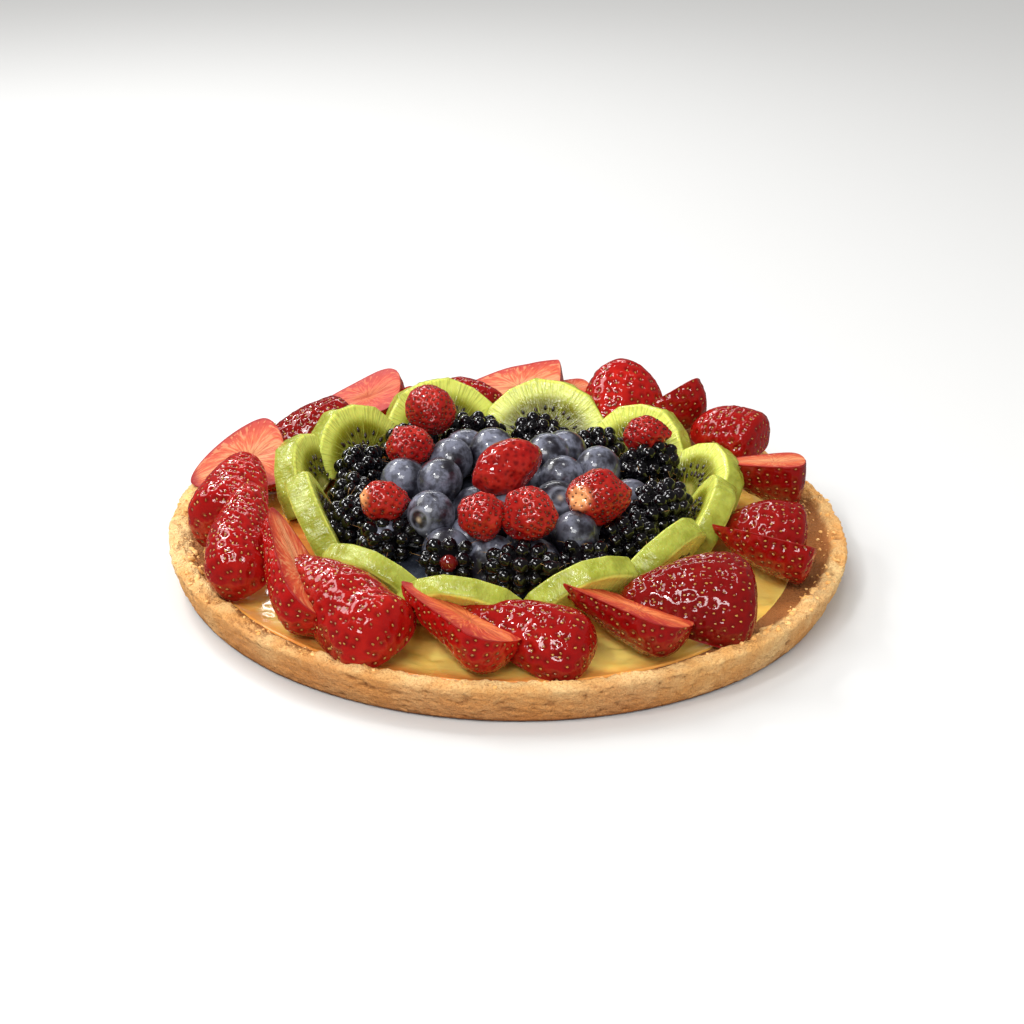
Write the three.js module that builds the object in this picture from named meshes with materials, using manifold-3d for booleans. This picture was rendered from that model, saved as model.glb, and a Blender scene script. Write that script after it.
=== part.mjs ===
// A round open fruit tart: a shortcrust case, custard, a ring of cut strawberries, a ring of kiwi slices,
// a ring of brambles, and blueberries with small wild strawberries heaped in the middle.
// Millimetres, +Z up, the underside of the crust on z = 0 and its centre on the origin.
import * as THREE from "three";
import { mergeVertices } from "three/addons/utils/BufferGeometryUtils.js";
import Module from "manifold-3d";

const wasm = await Module();
wasm.setup();

// Driving dimensions.
const rimRadius = 120;
const baseRadius = 115.5;
const rimHeight = 14.2;
const rimWidth = 8.5;
const crustFloor = 3;
const custardTop = 11;
const gap = 0.3;
const kiwiThickness = 8;
const blueberryRadius = 8.5;

const radians = THREE.MathUtils.degToRad;

// Surface colours of the kinds of food.
const finishes = {
  crust: { color: 0xd9a566, roughness: 0.8 },
  custard: { color: 0xe0b660, roughness: 0.3 },
  strawberry: { color: 0xb01a18, roughness: 0.3 },
  kiwi: { color: 0xa8b83c, roughness: 0.35 },
  bramble: { color: 0x1d1826, roughness: 0.3 },
  wild: { color: 0xb52426, roughness: 0.35 },
  blueberry: { color: 0x4a5570, roughness: 0.6 },
};

// ---- solids from grids of points ----

// A closed body from rings of points that all turn the same way, with a pole point at each end.
function loft(startPole, rings, endPole) {
  const points = [startPole, ...rings.flat(), endPole];
  const count = rings[0].length;
  const last = points.length - 1;
  const faces = [];
  for (let i = 0; i < count; i++) {
    const j = (i + 1) % count;
    faces.push(0, 1 + j, 1 + i);
    for (let k = 0; k + 1 < rings.length; k++) {
      const a = 1 + k * count;
      const b = a + count;
      faces.push(a + i, a + j, b + j, a + i, b + j, b + i);
    }
    const end = 1 + (rings.length - 1) * count;
    faces.push(last, end + i, end + j);
  }
  const geometry = new THREE.BufferGeometry();
  geometry.setAttribute("position", new THREE.Float32BufferAttribute(points.flat(), 3));
  geometry.setIndex(faces);
  return geometry;
}

function toSolid(geometry) {
  const bare = geometry.clone();
  bare.deleteAttribute("normal");
  bare.deleteAttribute("uv");
  const merged = mergeVertices(bare, 1e-3);
  return new wasm.Manifold(
    new wasm.Mesh({
      numProp: 3,
      vertProperties: new Float32Array(merged.attributes.position.array),
      triVerts: new Uint32Array(merged.index.array),
    }),
  );
}

function toGeometry(solid) {
  const mesh = solid.getMesh();
  const geometry = new THREE.BufferGeometry();
  const step = mesh.numProp;
  const positions = new Float32Array((mesh.vertProperties.length / step) * 3);
  for (let i = 0; i < positions.length / 3; i++) {
    positions[3 * i] = mesh.vertProperties[step * i];
    positions[3 * i + 1] = mesh.vertProperties[step * i + 1];
    positions[3 * i + 2] = mesh.vertProperties[step * i + 2];
  }
  geometry.setAttribute("position", new THREE.BufferAttribute(positions, 3));
  geometry.setIndex(Array.from(mesh.triVerts));
  return geometry;
}

// The same shape made larger all round, each point moved out by the clearance.
function grown(geometry, clearance) {
  const bigger = mergeVertices(geometry, 1e-3);
  bigger.computeVertexNormals();
  const position = bigger.attributes.position;
  const normal = bigger.attributes.normal;
  for (let i = 0; i < position.count; i++) {
    position.setXYZ(
      i,
      position.getX(i) + clearance * normal.getX(i),
      position.getY(i) + clearance * normal.getY(i),
      position.getZ(i) + clearance * normal.getZ(i),
    );
  }
  return bigger;
}

// Turns a fruit made around the origin into its place: bearing and reach say where its middle stands,
// turn is the heading of its long axis, pitch lifts the tip, roll turns it about that axis.
// rise is the height of its middle, more where it would sink into the custard. The grown copy moves too.
function place(geometry, spot, room = grown(geometry, gap * 2)) {
  const turn = new THREE.Matrix4().makeRotationZ(radians(spot.turn));
  const pitch = new THREE.Matrix4().makeRotationY(radians(-spot.pitch));
  const roll = new THREE.Matrix4().makeRotationX(radians(spot.roll));
  const stance = turn.multiply(pitch).multiply(roll);
  geometry.applyMatrix4(stance);
  geometry.computeBoundingBox();
  const bearing = radians(spot.bearing);
  const resting = custardTop + gap - geometry.boundingBox.min.z;
  const move = new THREE.Matrix4().makeTranslation(
    spot.reach * Math.cos(bearing),
    spot.reach * Math.sin(bearing),
    Math.max(resting, spot.rise),
  );
  geometry.applyMatrix4(move);
  room.applyMatrix4(stance).applyMatrix4(move);
  geometry.computeBoundingBox();
  room.computeBoundingBox();
  return { geometry, room };
}

// ---- crust and custard ----

function wave(angle, seed) {
  return (
    0.5 * Math.sin(3 * angle + seed) +
    0.3 * Math.sin(7 * angle + 2.1 * seed) +
    0.2 * Math.sin(13 * angle + 3.7 * seed)
  );
}

function turned(profile, segments, shift) {
  const points = profile.map(([radius, height]) => new THREE.Vector2(radius, height));
  const geometry = new THREE.LatheGeometry(points, segments).rotateX(Math.PI / 2);
  const position = geometry.attributes.position;
  for (let i = 0; i < position.count; i++) {
    const x = position.getX(i);
    const y = position.getY(i);
    const z = position.getZ(i);
    const radius = Math.hypot(x, y);
    if (radius > 1) {
      const angle = Math.atan2(y, x);
      const [out, up] = shift(angle, radius, z);
      position.setXYZ(i, x * (1 + out / radius), y * (1 + out / radius), z + up);
    }
  }
  return geometry;
}

const innerTop = rimRadius - rimWidth;

// The crust, or with an allowance the room that the fruit on it leaves free.
function makeCrust(allowance) {
  return turned(
    [
      [0, 0],
      [baseRadius - 1.2, 0],
      [baseRadius, 0.9],
      [rimRadius - 2.2, 6],
      [rimRadius - 0.3, 10.4],
      [rimRadius - 0.9, 12.8 + allowance],
      [rimRadius - 3, rimHeight + allowance],
      [innerTop + 2 - allowance, rimHeight - 0.3 + allowance],
      [innerTop - allowance, rimHeight - 1.6 + allowance],
      [innerTop - 4.5 - allowance, 9.4 + allowance],
      [innerTop - 7 - allowance, 6.5 + allowance],
      [innerTop - 8.5 - allowance, crustFloor + allowance],
      [0, crustFloor + allowance],
    ],
    60,
    (angle, radius, z) => {
      const edge = z > 9 ? 1 : z / 9;
      return [0.7 * edge * wave(angle, 1.3), z > 11.5 ? 0.5 * wave(angle, 4.2) : 0];
    },
  );
}

const crustGeometry = makeCrust(0);

const custardRadius = innerTop - 7 - gap;
const custardGeometry = turned(
  [
    [0, crustFloor + gap],
    [custardRadius - 2.5, crustFloor + gap],
    [custardRadius - 0.4, 6.3],
    [custardRadius, 8.3],
    [custardRadius - 1.5, 9],
    [custardRadius - 9, 9.6],
    [custardRadius - 18, custardTop - 0.3],
    [custardRadius - 28, custardTop],
    [0, custardTop],
  ],
  40,
  (angle, radius, z) => [
    0,
    z > custardTop - 2.5 && radius > 80 ? 0.25 * (wave(angle, 2.6) - 1) : 0,
  ],
);

// ---- strawberries ----

// Half width of a strawberry along its length: 0 is the end where the hull was cut off, 1 the tip.
function berryOutline(t) {
  return Math.pow(Math.sin(Math.PI * (0.08 + 0.92 * Math.pow(t, 0.75))), 0.7);
}

const berryStations = [0, 0.05, 0.17, 0.36, 0.58, 0.78, 0.93];

// Half a strawberry cut along its length, with the flat cut face at z = 0 and the skin above it.
function strawberry(size) {
  const steps = 8;
  const rings = berryStations.map((t) => {
    const wide = (berryOutline(t) * size.width) / 2;
    const deep = berryOutline(t) * size.depth;
    const ring = [];
    for (let i = 0; i <= steps; i++) {
      const angle = (Math.PI * i) / steps;
      ring.push([size.length * (t - 0.5), wide * Math.cos(angle), deep * Math.sin(angle)]);
    }
    return ring;
  });
  return loft([-size.length / 2, 0, size.depth / 4], rings, [size.length / 2, 0.01, 0.02]);
}

const strawberrySpots = [
  {
    bearing: 167.4, reach: 101, rise: 19.5, turn: -176, pitch: -22, roll: 150,
    length: 38, width: 31, depth: 16,
  },
  {
    bearing: -173.7, reach: 95, rise: 19, turn: 86, pitch: 22, roll: -35,
    length: 42, width: 30, depth: 18,
  },
  {
    bearing: -153.6, reach: 95.7, rise: 19, turn: 94, pitch: 20, roll: -35,
    length: 53, width: 24, depth: 17,
  },
  {
    bearing: -135.3, reach: 94.3, rise: 24, turn: 113, pitch: 14, roll: -140,
    length: 58, width: 26, depth: 14,
  },
  {
    bearing: -123.3, reach: 96.3, rise: 15, turn: 128, pitch: 8, roll: -25,
    length: 62, width: 32, depth: 16,
  },
  {
    bearing: -99.9, reach: 93, rise: 20.5, turn: 139, pitch: 2, roll: -168,
    length: 50, width: 28, depth: 14,
  },
  {
    bearing: -86.2, reach: 94.8, rise: 14, turn: 162, pitch: 5, roll: -25,
    length: 46, width: 30, depth: 11.5,
  },
  {
    bearing: -65.6, reach: 91.6, rise: 21.5, turn: 151, pitch: 5, roll: -168,
    length: 47, width: 26, depth: 13,
  },
  {
    bearing: -50.1, reach: 92.2, rise: 14, turn: -174, pitch: 5, roll: -25,
    length: 45, width: 36, depth: 16,
  },
  {
    bearing: -21, reach: 94, rise: 24, turn: 168, pitch: 8, roll: -160,
    length: 37, width: 24, depth: 13,
  },
  {
    bearing: -9.8, reach: 90.6, rise: 17, turn: 175, pitch: 6, roll: 0,
    length: 32, width: 28, depth: 14,
  },
  {
    bearing: 14.3, reach: 96.1, rise: 28, turn: 179, pitch: -4, roll: -160,
    length: 28, width: 28, depth: 18,
  },
  {
    bearing: 34.6, reach: 100.5, rise: 21, turn: 149, pitch: 6, roll: 0,
    length: 30, width: 28, depth: 14,
  },
  {
    bearing: 55, reach: 96, rise: 24, turn: -159, pitch: -14, roll: -40,
    length: 44, width: 24, depth: 13,
  },
  {
    bearing: 62.7, reach: 93.7, rise: 25, turn: 80, pitch: 60, roll: 0,
    length: 35, width: 34, depth: 14,
  },
  {
    bearing: 76.7, reach: 100.3, rise: 26, turn: -169, pitch: 0, roll: 180,
    length: 20, width: 16, depth: 10,
  },
  {
    bearing: 90.8, reach: 98, rise: 25, turn: 172, pitch: -13, roll: 160,
    length: 45, width: 28, depth: 15,
  },
  {
    bearing: 98, reach: 94, rise: 20, turn: -29, pitch: 17, roll: 20,
    length: 26, width: 22, depth: 12,
  },
  {
    bearing: 118.1, reach: 88.5, rise: 22, turn: -124, pitch: 0, roll: 0,
    length: 16, width: 14, depth: 9,
  },
  {
    bearing: 125.3, reach: 103.8, rise: 25, turn: 176, pitch: -22, roll: 160,
    length: 38, width: 24, depth: 14,
  },
  {
    bearing: 141, reach: 99, rise: 17.5, turn: -152, pitch: -8, roll: 30,
    length: 40, width: 26, depth: 12,
  },
];

// ---- kiwi slices ----

// Half of a peeled slice, many-sided, with its straight edge at x = 0 and softened corners.
function kiwiHalf(spot, allowance) {
  const steps = 9;
  const ring = (inset, height) => {
    const points = [];
    for (let i = 0; i <= steps; i++) {
      const angle = Math.PI * (i / steps - 0.5);
      const flat = (i + spot.flats) % 2 === 0 ? 1 : 0.97;
      const radius = (spot.diameter / 2 + 2 * allowance - inset) * flat;
      const out = Math.max(radius * Math.cos(angle), 0) + inset * 0.5 - allowance;
      points.push([out, radius * Math.sin(angle), height]);
    }
    return points;
  };
  const half = kiwiThickness / 2 + allowance;
  const rings = [ring(1.2, -half), ring(0, -half + 1.2), ring(0, half - 1.2), ring(1.2, half)];
  return loft([spot.diameter / 5, 0, -half], rings, [spot.diameter / 5, 0, half]);
}

const kiwiSpots = [
  { bearing: 164.7, reach: 72.9, rise: 0, turn: 170, tilt: 64, flats: 0, diameter: 46 },
  { bearing: -169, reach: 65, rise: 0, turn: -168, tilt: 64, flats: 1, diameter: 46 },
  { bearing: 142, reach: 71, rise: 0, turn: 142, tilt: 60, flats: 0, diameter: 48 },
  { bearing: 110.7, reach: 74.3, rise: 0, turn: 110, tilt: 60, flats: 1, diameter: 50 },
  { bearing: 78.6, reach: 70.3, rise: 0, turn: 80, tilt: 60, flats: 0, diameter: 52 },
  { bearing: 46.4, reach: 70.7, rise: 0, turn: 47, tilt: 60, flats: 1, diameter: 48 },
  { bearing: 16.6, reach: 70.2, rise: 0, turn: 18, tilt: 52, flats: 0, diameter: 46 },
  { bearing: -5.9, reach: 66.5, rise: 0, turn: -8, tilt: 62, flats: 1, diameter: 46 },
  { bearing: -36, reach: 62, rise: 0, turn: -36, tilt: 60, flats: 0, diameter: 46 },
  { bearing: -68.3, reach: 66.9, rise: 0, turn: -60, tilt: 60, flats: 1, diameter: 46 },
  { bearing: -126.5, reach: 70.2, rise: 0, turn: -124, tilt: 58, flats: 0, diameter: 46 },
  { bearing: -100.1, reach: 78.8, rise: 0, turn: -101, tilt: 56, flats: 1, diameter: 48 },
];

// ---- brambles, wild strawberries and blueberries ----

// A round fruit whose surface is raised in staggered bumps.
function bumpy(size, around, rows, bump) {
  const rings = [];
  for (let row = 1; row < rows; row++) {
    const slope = (Math.PI * row) / rows;
    const ring = [];
    for (let i = 0; i < around; i++) {
      const angle = (2 * Math.PI * i) / around + (row % 2) * (Math.PI / around);
      const raise = 1 + (i % 2 === 0 ? bump : -bump);
      const wide = (size.width / 2) * Math.sin(slope) * raise;
      ring.push([
        -(size.length / 2) * Math.cos(slope) * (1 + 0.4 * bump * (i % 2)),
        wide * Math.cos(angle),
        wide * Math.sin(angle),
      ]);
    }
    rings.push(ring);
  }
  return loft([-size.length / 2, 0, 0], rings, [size.length / 2, 0, 0]);
}

const brambleSpots = [
  { bearing: 128, reach: 61, rise: 20, turn: 20, pitch: 0, roll: 0, length: 22, width: 18 },
  { bearing: 104, reach: 60, rise: 21, turn: 10, pitch: 0, roll: 0, length: 25, width: 18 },
  { bearing: 79, reach: 58, rise: 22, turn: -10, pitch: 0, roll: 0, length: 21, width: 18 },
  { bearing: 56, reach: 59, rise: 21, turn: 20, pitch: 0, roll: 0, length: 21, width: 17 },
  { bearing: 27, reach: 58, rise: 24, turn: 30, pitch: 0, roll: 0, length: 25, width: 19 },
  { bearing: -10, reach: 54, rise: 24, turn: 40, pitch: 0, roll: 0, length: 25, width: 20 },
  { bearing: -34, reach: 50, rise: 20, turn: 20, pitch: 0, roll: 0, length: 23, width: 18 },
  { bearing: -58.8, reach: 51.5, rise: 19, turn: 10, pitch: 0, roll: 0, length: 20, width: 16 },
  { bearing: -84.3, reach: 53, rise: 20, turn: -5, pitch: 0, roll: 0, length: 28, width: 19 },
  { bearing: -112.6, reach: 49.8, rise: 19, turn: 0, pitch: 0, roll: 0, length: 21, width: 16 },
  { bearing: -141, reach: 51, rise: 20, turn: 20, pitch: 0, roll: 0, length: 24, width: 17 },
  { bearing: -163, reach: 57, rise: 20, turn: 60, pitch: 0, roll: 0, length: 22, width: 17 },
  { bearing: 177, reach: 55, rise: 20, turn: 90, pitch: 0, roll: 0, length: 20, width: 17 },
  { bearing: 155, reach: 60, rise: 21, turn: 60, pitch: 0, roll: 0, length: 24, width: 18 },
];

const wildSpots = [
  { bearing: 121, reach: 58, rise: 34, turn: -80, pitch: 0, roll: 0, length: 18, width: 18 },
  { bearing: 158, reach: 38, rise: 35, turn: 0, pitch: 0, roll: 0, length: 18, width: 15 },
  { bearing: -148, reach: 49, rise: 32, turn: 0, pitch: 0, roll: 0, length: 17, width: 13 },
  { bearing: -101, reach: 42, rise: 35, turn: 60, pitch: 0, roll: 0, length: 18, width: 16 },
  { bearing: -89.7, reach: 13.8, rise: 40, turn: 20, pitch: 0, roll: 0, length: 25, width: 18 },
  { bearing: -79.7, reach: 43.2, rise: 36, turn: -40, pitch: 0, roll: 0, length: 20, width: 18 },
  { bearing: -41, reach: 41, rise: 36, turn: 10, pitch: 0, roll: 0, length: 21, width: 18 },
  { bearing: 33, reach: 60, rise: 34, turn: 0, pitch: 0, roll: 0, length: 17, width: 14 },
];

const blueberrySpots = [
  { x: -37, y: 0, z: 28 },
  { x: -24, y: -6, z: 31 },
  { x: -26, y: -29, z: 29 },
  { x: -21, y: 14, z: 30 },
  { x: -16, y: 27, z: 28 },
  { x: -6, y: 21, z: 31 },
  { x: 14, y: 20, z: 30 },
  { x: 20, y: 28, z: 28 },
  { x: 32, y: 10, z: 30 },
  { x: 19, y: 5, z: 28 },
  { x: 17, y: -12, z: 26 },
  { x: 23, y: -36, z: 26 },
  { x: -20, y: -42, z: 25 },
  { x: -5, y: -47, z: 25 },
  { x: 43, y: -5, z: 24 },
  { x: 0, y: -20, z: 26 },
  { x: 0, y: 4, z: 28 },
];

// ---- assembly ----

const fruits = [];

wildSpots.forEach((spot, i) => {
  const placed = place(bumpy(spot, 8, 6, 0.06), spot);
  fruits.push({ name: `wild_strawberry_${i + 1}`, kind: "wild", ...placed });
});

strawberrySpots.forEach((spot, i) => {
  const placed = place(strawberry(spot), spot);
  fruits.push({ name: `strawberry_${i + 1}`, kind: "strawberry", ...placed });
});

kiwiSpots.forEach((spot, i) => {
  const stance = { ...spot, pitch: spot.tilt, roll: 0 };
  const placed = place(kiwiHalf(spot, 0), stance, kiwiHalf(spot, gap));
  fruits.push({ name: `kiwi_${i + 1}`, kind: "kiwi", ...placed });
});

brambleSpots.forEach((spot, i) => {
  const placed = place(bumpy(spot, 12, 7, 0.07), spot);
  fruits.push({ name: `bramble_${i + 1}`, kind: "bramble", ...placed });
});

// Each fruit is cut back where one listed before it already lies.
const crustKeepOut = toSolid(makeCrust(gap));
const settled = [];

function largest(solid) {
  const bodies = solid.decompose();
  bodies.sort((a, b) => b.volume() - a.volume());
  return bodies[0];
}

for (const fruit of fruits) {
  let solid = toSolid(fruit.geometry);
  if (fruit.kind === "strawberry") {
    solid = solid.subtract(crustKeepOut);
  }
  for (const other of settled) {
    if (other.box.intersectsBox(fruit.geometry.boundingBox)) {
      solid = solid.subtract(other.keepOut);
    }
  }
  settled.push({ keepOut: toSolid(fruit.room), box: fruit.room.boundingBox });
  fruit.solid = largest(solid);
}

// The blueberries are one heap, joined over a low mound.
const moundRadius = 44;
const moundGeometry = turned(
  [
    [0, custardTop + gap],
    [moundRadius, custardTop + gap],
    [moundRadius - 1, custardTop + 4],
    [moundRadius - 10, custardTop + 11],
    [moundRadius - 24, custardTop + 16],
    [0, custardTop + 18],
  ],
  24,
  () => [0, 0],
);
let heap = toSolid(moundGeometry);
for (const spot of blueberrySpots) {
  const ball = new THREE.IcosahedronGeometry(blueberryRadius, 1);
  ball.scale(1, 1, 0.9).translate(spot.x, spot.y, spot.z);
  heap = heap.add(toSolid(ball));
}
for (const other of settled) {
  heap = heap.subtract(other.keepOut);
}
fruits.push({ name: "blueberry_heap", kind: "blueberry", solid: largest(heap) });

const group = new THREE.Group();
group.name = "fruit_tart";

function addMesh(name, kind, geometry) {
  const finish = finishes[kind];
  const material = new THREE.MeshStandardMaterial({
    color: finish.color,
    roughness: finish.roughness,
    metalness: 0,
  });
  const mesh = new THREE.Mesh(geometry, material);
  mesh.name = name;
  group.add(mesh);
}

addMesh("crust", "crust", crustGeometry);
addMesh("custard", "custard", custardGeometry);
for (const fruit of fruits) {
  addMesh(fruit.name, fruit.kind, toGeometry(fruit.solid));
}

export default group;
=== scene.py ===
import itertools
import math

import bpy
import numpy as np
from mathutils import Matrix, Vector


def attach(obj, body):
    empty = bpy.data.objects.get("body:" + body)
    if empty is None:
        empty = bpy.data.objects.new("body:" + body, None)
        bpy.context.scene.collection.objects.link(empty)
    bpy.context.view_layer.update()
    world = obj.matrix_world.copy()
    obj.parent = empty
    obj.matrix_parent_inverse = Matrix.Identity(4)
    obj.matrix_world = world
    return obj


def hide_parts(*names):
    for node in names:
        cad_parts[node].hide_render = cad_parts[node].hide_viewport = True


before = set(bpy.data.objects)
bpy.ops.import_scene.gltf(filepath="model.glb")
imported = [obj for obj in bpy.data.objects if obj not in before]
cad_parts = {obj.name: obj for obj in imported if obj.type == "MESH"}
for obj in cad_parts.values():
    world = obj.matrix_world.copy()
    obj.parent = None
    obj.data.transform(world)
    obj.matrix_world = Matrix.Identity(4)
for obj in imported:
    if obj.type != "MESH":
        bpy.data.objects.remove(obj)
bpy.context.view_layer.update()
mm = 0.001

# sizes shared with the solids, in millimetres
tart = {"rimRadius": 120, "rimWidth": 8.5, "custardTop": 11, "gap": 0.3}

camera = {"lens": 70, "sensor": 36, "distance": 0.717, "elevation": 26.742, "aim": (0.0016, 0, 0.0168), "roll": 1.487}


def addCamera():
    up = math.radians(camera["elevation"])
    spot = Vector((0, -math.cos(up), math.sin(up))) * camera["distance"]
    ahead = (Vector(camera["aim"]) - spot).normalized()
    right = ahead.cross(Vector((0, 0, 1))).normalized()
    above = right.cross(ahead)
    roll = math.radians(camera["roll"])
    tilted = right * math.cos(roll) + above * math.sin(roll)
    above = above * math.cos(roll) - right * math.sin(roll)
    view = Matrix((tilted, above, -ahead)).transposed().to_4x4()
    view.translation = spot
    bpy.ops.object.camera_add()
    lens = bpy.context.object
    lens.matrix_world = view
    lens.data.lens = camera["lens"]
    lens.data.sensor_width = camera["sensor"]
    bpy.context.scene.camera = lens


addCamera()
print("camera in place")


# helpers for numbers


# 0 up to the start, then rising to 1 over the width, or falling before the start when the width is negative
def ramp(values, start, width):
    return np.clip((values - start) / width, 0, 1)


def bump(values, middle, width):
    return np.exp(-(((values - middle) / width) ** 2))


def stack(*columns):
    return np.stack(columns, 1)


def onCircle(r, angle, z):
    return stack(r * np.cos(angle), r * np.sin(angle), z)


# radius and height at each share of a path, whose rows hold share, radius and height
def followPath(path, share):
    path = np.array(path)
    return np.interp(share, path[:, 0], path[:, 1]), np.interp(share, path[:, 0], path[:, 2])


# smooth random heights between -1 and 1 that change over the given size
def lumps(points, size, seed):
    spot = points / np.asarray(size, float) + 31.7 * seed + 100
    cell = np.floor(spot).astype(np.int64)
    part = spot - cell
    part = part * part * (3 - 2 * part)
    total = np.zeros(len(points))
    for corner in itertools.product((0, 1), repeat=3):
        at = cell + np.array(corner)
        mixed = (at[:, 0] * 73856093) ^ (at[:, 1] * 19349663) ^ (at[:, 2] * 83492791)
        mixed = (mixed * 2654435761 + seed * 97) & 0xFFFFFFFF
        mixed = ((mixed ^ (mixed >> 15)) * 2246822519) & 0xFFFFFFFF
        mixed = (mixed ^ (mixed >> 13)) & 0xFFFF
        weight = np.prod(np.where(np.array(corner) == 1, part, 1 - part), axis=1)
        total += (mixed / 32767.5 - 1) * weight
    return total


# lumps on top of each other, each with a height, a size and a seed
def layered(points, *layers):
    return sum(height * lumps(points, size, seed) for height, size, seed in layers)


# one dictionary for each row of a table, where short rows leave the last values as usual
def readTable(names, rows, **usual):
    return [{"rise": 0, "pitch": 0, "roll": 0, **usual, **dict(zip(names.split(), row))} for row in rows]


# helpers for shapes


def addPrimitive(kind, name, **settings):
    bpy.ops.object.select_all(action="DESELECT")
    getattr(bpy.ops.mesh, f"primitive_{kind}_add")(**settings)
    piece = bpy.context.object
    piece.name = piece.data.name = name
    bpy.ops.object.transform_apply(location=True, rotation=True, scale=True)
    return piece


def addBall(name, look, **settings):
    segments, rings = look["segments"], look["rings"]
    return addPrimitive("uv_sphere", name, segments=segments, ring_count=rings, radius=1, **settings)


def getPoints(piece):
    points = np.empty(len(piece.data.vertices) * 3)
    piece.data.vertices.foreach_get("co", points)
    return points.reshape(-1, 3)


def setPoints(piece, points):
    piece.data.vertices.foreach_set("co", np.asarray(points, np.float32).ravel())
    piece.data.update()


def getNormals(piece):
    normals = np.empty(len(piece.data.vertices) * 3, np.float32)
    piece.data.vertex_normals.foreach_get("vector", normals)
    return normals.reshape(-1, 3).astype(float)


# how far down a ball each point is, as a share from pole to pole, and its bearing
def ballPlaces(piece):
    points = getPoints(piece)
    return np.arccos(np.clip(points[:, 2], -1, 1)) / math.pi, np.arctan2(points[:, 1], points[:, 0])


# a ball of even triangles, with the direction of each of its points
def addEvenBall(name, subdivisions):
    piece = addPrimitive("ico_sphere", name, subdivisions=subdivisions, radius=1)
    ways = getPoints(piece)
    return piece, ways / np.linalg.norm(ways, axis=1)[:, None]


def keepValues(piece, name, values):
    kind, key = ("FLOAT_VECTOR", "vector") if values.ndim == 2 else ("FLOAT", "value")
    layer = piece.data.attributes.new(name, kind, "POINT")
    layer.data.foreach_set(key, np.asarray(values, np.float32).ravel())


# puts a fruit in its place on the tart, in the same steps as the solids, and returns its points, turn and move
def settle(piece, points, spot):
    turn = Matrix.Rotation(math.radians(spot["turn"]), 3, "Z")
    pitch = Matrix.Rotation(math.radians(-spot["pitch"]), 3, "Y")
    roll = Matrix.Rotation(math.radians(spot["roll"]), 3, "X")
    stance = np.array(turn @ pitch @ roll)
    turned = points @ stance.T
    bearing = math.radians(spot["bearing"])
    height = max(tart["custardTop"] + tart["gap"] - turned[:, 2].min(), spot["rise"])
    move = np.array([spot["reach"] * math.cos(bearing), spot["reach"] * math.sin(bearing), height])
    setPoints(piece, (turned + move) * mm)
    return turned + move, stance, move


def finishPiece(piece, material, node=None, sharpAngle=None):
    piece.data.materials.clear()
    piece.data.materials.append(material)
    bpy.ops.object.select_all(action="DESELECT")
    piece.select_set(True)
    bpy.context.view_layer.objects.active = piece
    if sharpAngle:
        bpy.ops.object.shade_smooth_by_angle(angle=math.radians(sharpAngle))
    else:
        bpy.ops.object.shade_smooth()
    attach(piece, "root")
    if node:
        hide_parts(node)


# one joined mesh with a copy of the template at each place, in millimetres until the end
def joinCopies(name, template, places, tones):
    shape = getPoints(template)
    faces = np.array([len(f.vertices) for f in template.data.polygons])
    loops = np.array([i for f in template.data.polygons for i in f.vertices])
    points = np.concatenate([shape @ m[:3, :3].T + m[:3, 3] for m in places])
    count = len(shape)
    corners = np.concatenate([loops + count * k for k in range(len(places))])
    sizes = np.tile(faces, len(places))
    mesh = bpy.data.meshes.new(name)
    mesh.vertices.add(len(points))
    mesh.vertices.foreach_set("co", (points * mm).astype(np.float32).ravel())
    mesh.loops.add(len(corners))
    mesh.loops.foreach_set("vertex_index", corners.astype(np.int32))
    mesh.polygons.add(len(sizes))
    mesh.polygons.foreach_set("loop_start", (np.cumsum(sizes) - sizes).astype(np.int32))
    mesh.update(calc_edges=True)
    mesh.validate()
    piece = bpy.data.objects.new(name, mesh)
    bpy.context.collection.objects.link(piece)
    keepValues(piece, "tone", np.repeat(np.asarray(tones, float), count))
    bpy.data.objects.remove(template)
    return piece


# a matrix whose x axis is ahead and whose z axis is out
def facing(spot, ahead, out, size):
    z = np.asarray(out) / np.linalg.norm(out)
    x = np.asarray(ahead) - z * np.dot(ahead, z)
    x = x / max(np.linalg.norm(x), 1e-9)
    y = np.cross(z, x)
    m = np.eye(4)
    m[:3, 0], m[:3, 1], m[:3, 2], m[:3, 3] = x * size[0], y * size[1], z * size[2], spot
    return m


# helpers for materials


def setSockets(tree, node, values):
    for key, value in values.items():
        if isinstance(value, bpy.types.NodeSocket):
            tree.links.new(value, node.inputs[key])
        else:
            node.inputs[key].default_value = value


def addNode(tree, kind, values=None, **settings):
    node = tree.nodes.new(kind)
    for key, value in settings.items():
        setattr(node, key, value)
    setSockets(tree, node, values or {})
    return node


# the helpers below that take no tree work in the tree of the sockets they are given
def calc(operation, first, second=0.0):
    tree = next(value.id_data for value in (first, second) if isinstance(value, bpy.types.NodeSocket))
    return addNode(tree, "ShaderNodeMath", {0: first, 1: second, 2: 0.0}, operation=operation).outputs[0]


def times(first, second):
    return calc("MULTIPLY", first, second)


def band(value, low, high):
    settings = {"Value": value, "From Min": low, "From Max": high}
    node = addNode(value.id_data, "ShaderNodeMapRange", settings, interpolation_type="SMOOTHSTEP")
    return node.outputs["Result"]


# one colour over another as far as the mask and the share say
def cover(mask, under, over, share=1):
    mask = mask if share == 1 else times(mask, share)
    return addNode(mask.id_data, "ShaderNodeMix", {0: mask, 6: under, 7: over}, data_type="RGBA").outputs[2]


def objectPlace(tree):
    return addNode(tree, "ShaderNodeTexCoord").outputs["Object"]


def noise(tree, scale, detail, roughness=0.55, place=None):
    settings = {"Vector": place or objectPlace(tree), "Scale": scale, "Detail": detail, "Roughness": roughness}
    return addNode(tree, "ShaderNodeTexNoise", settings).outputs[0]


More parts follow.
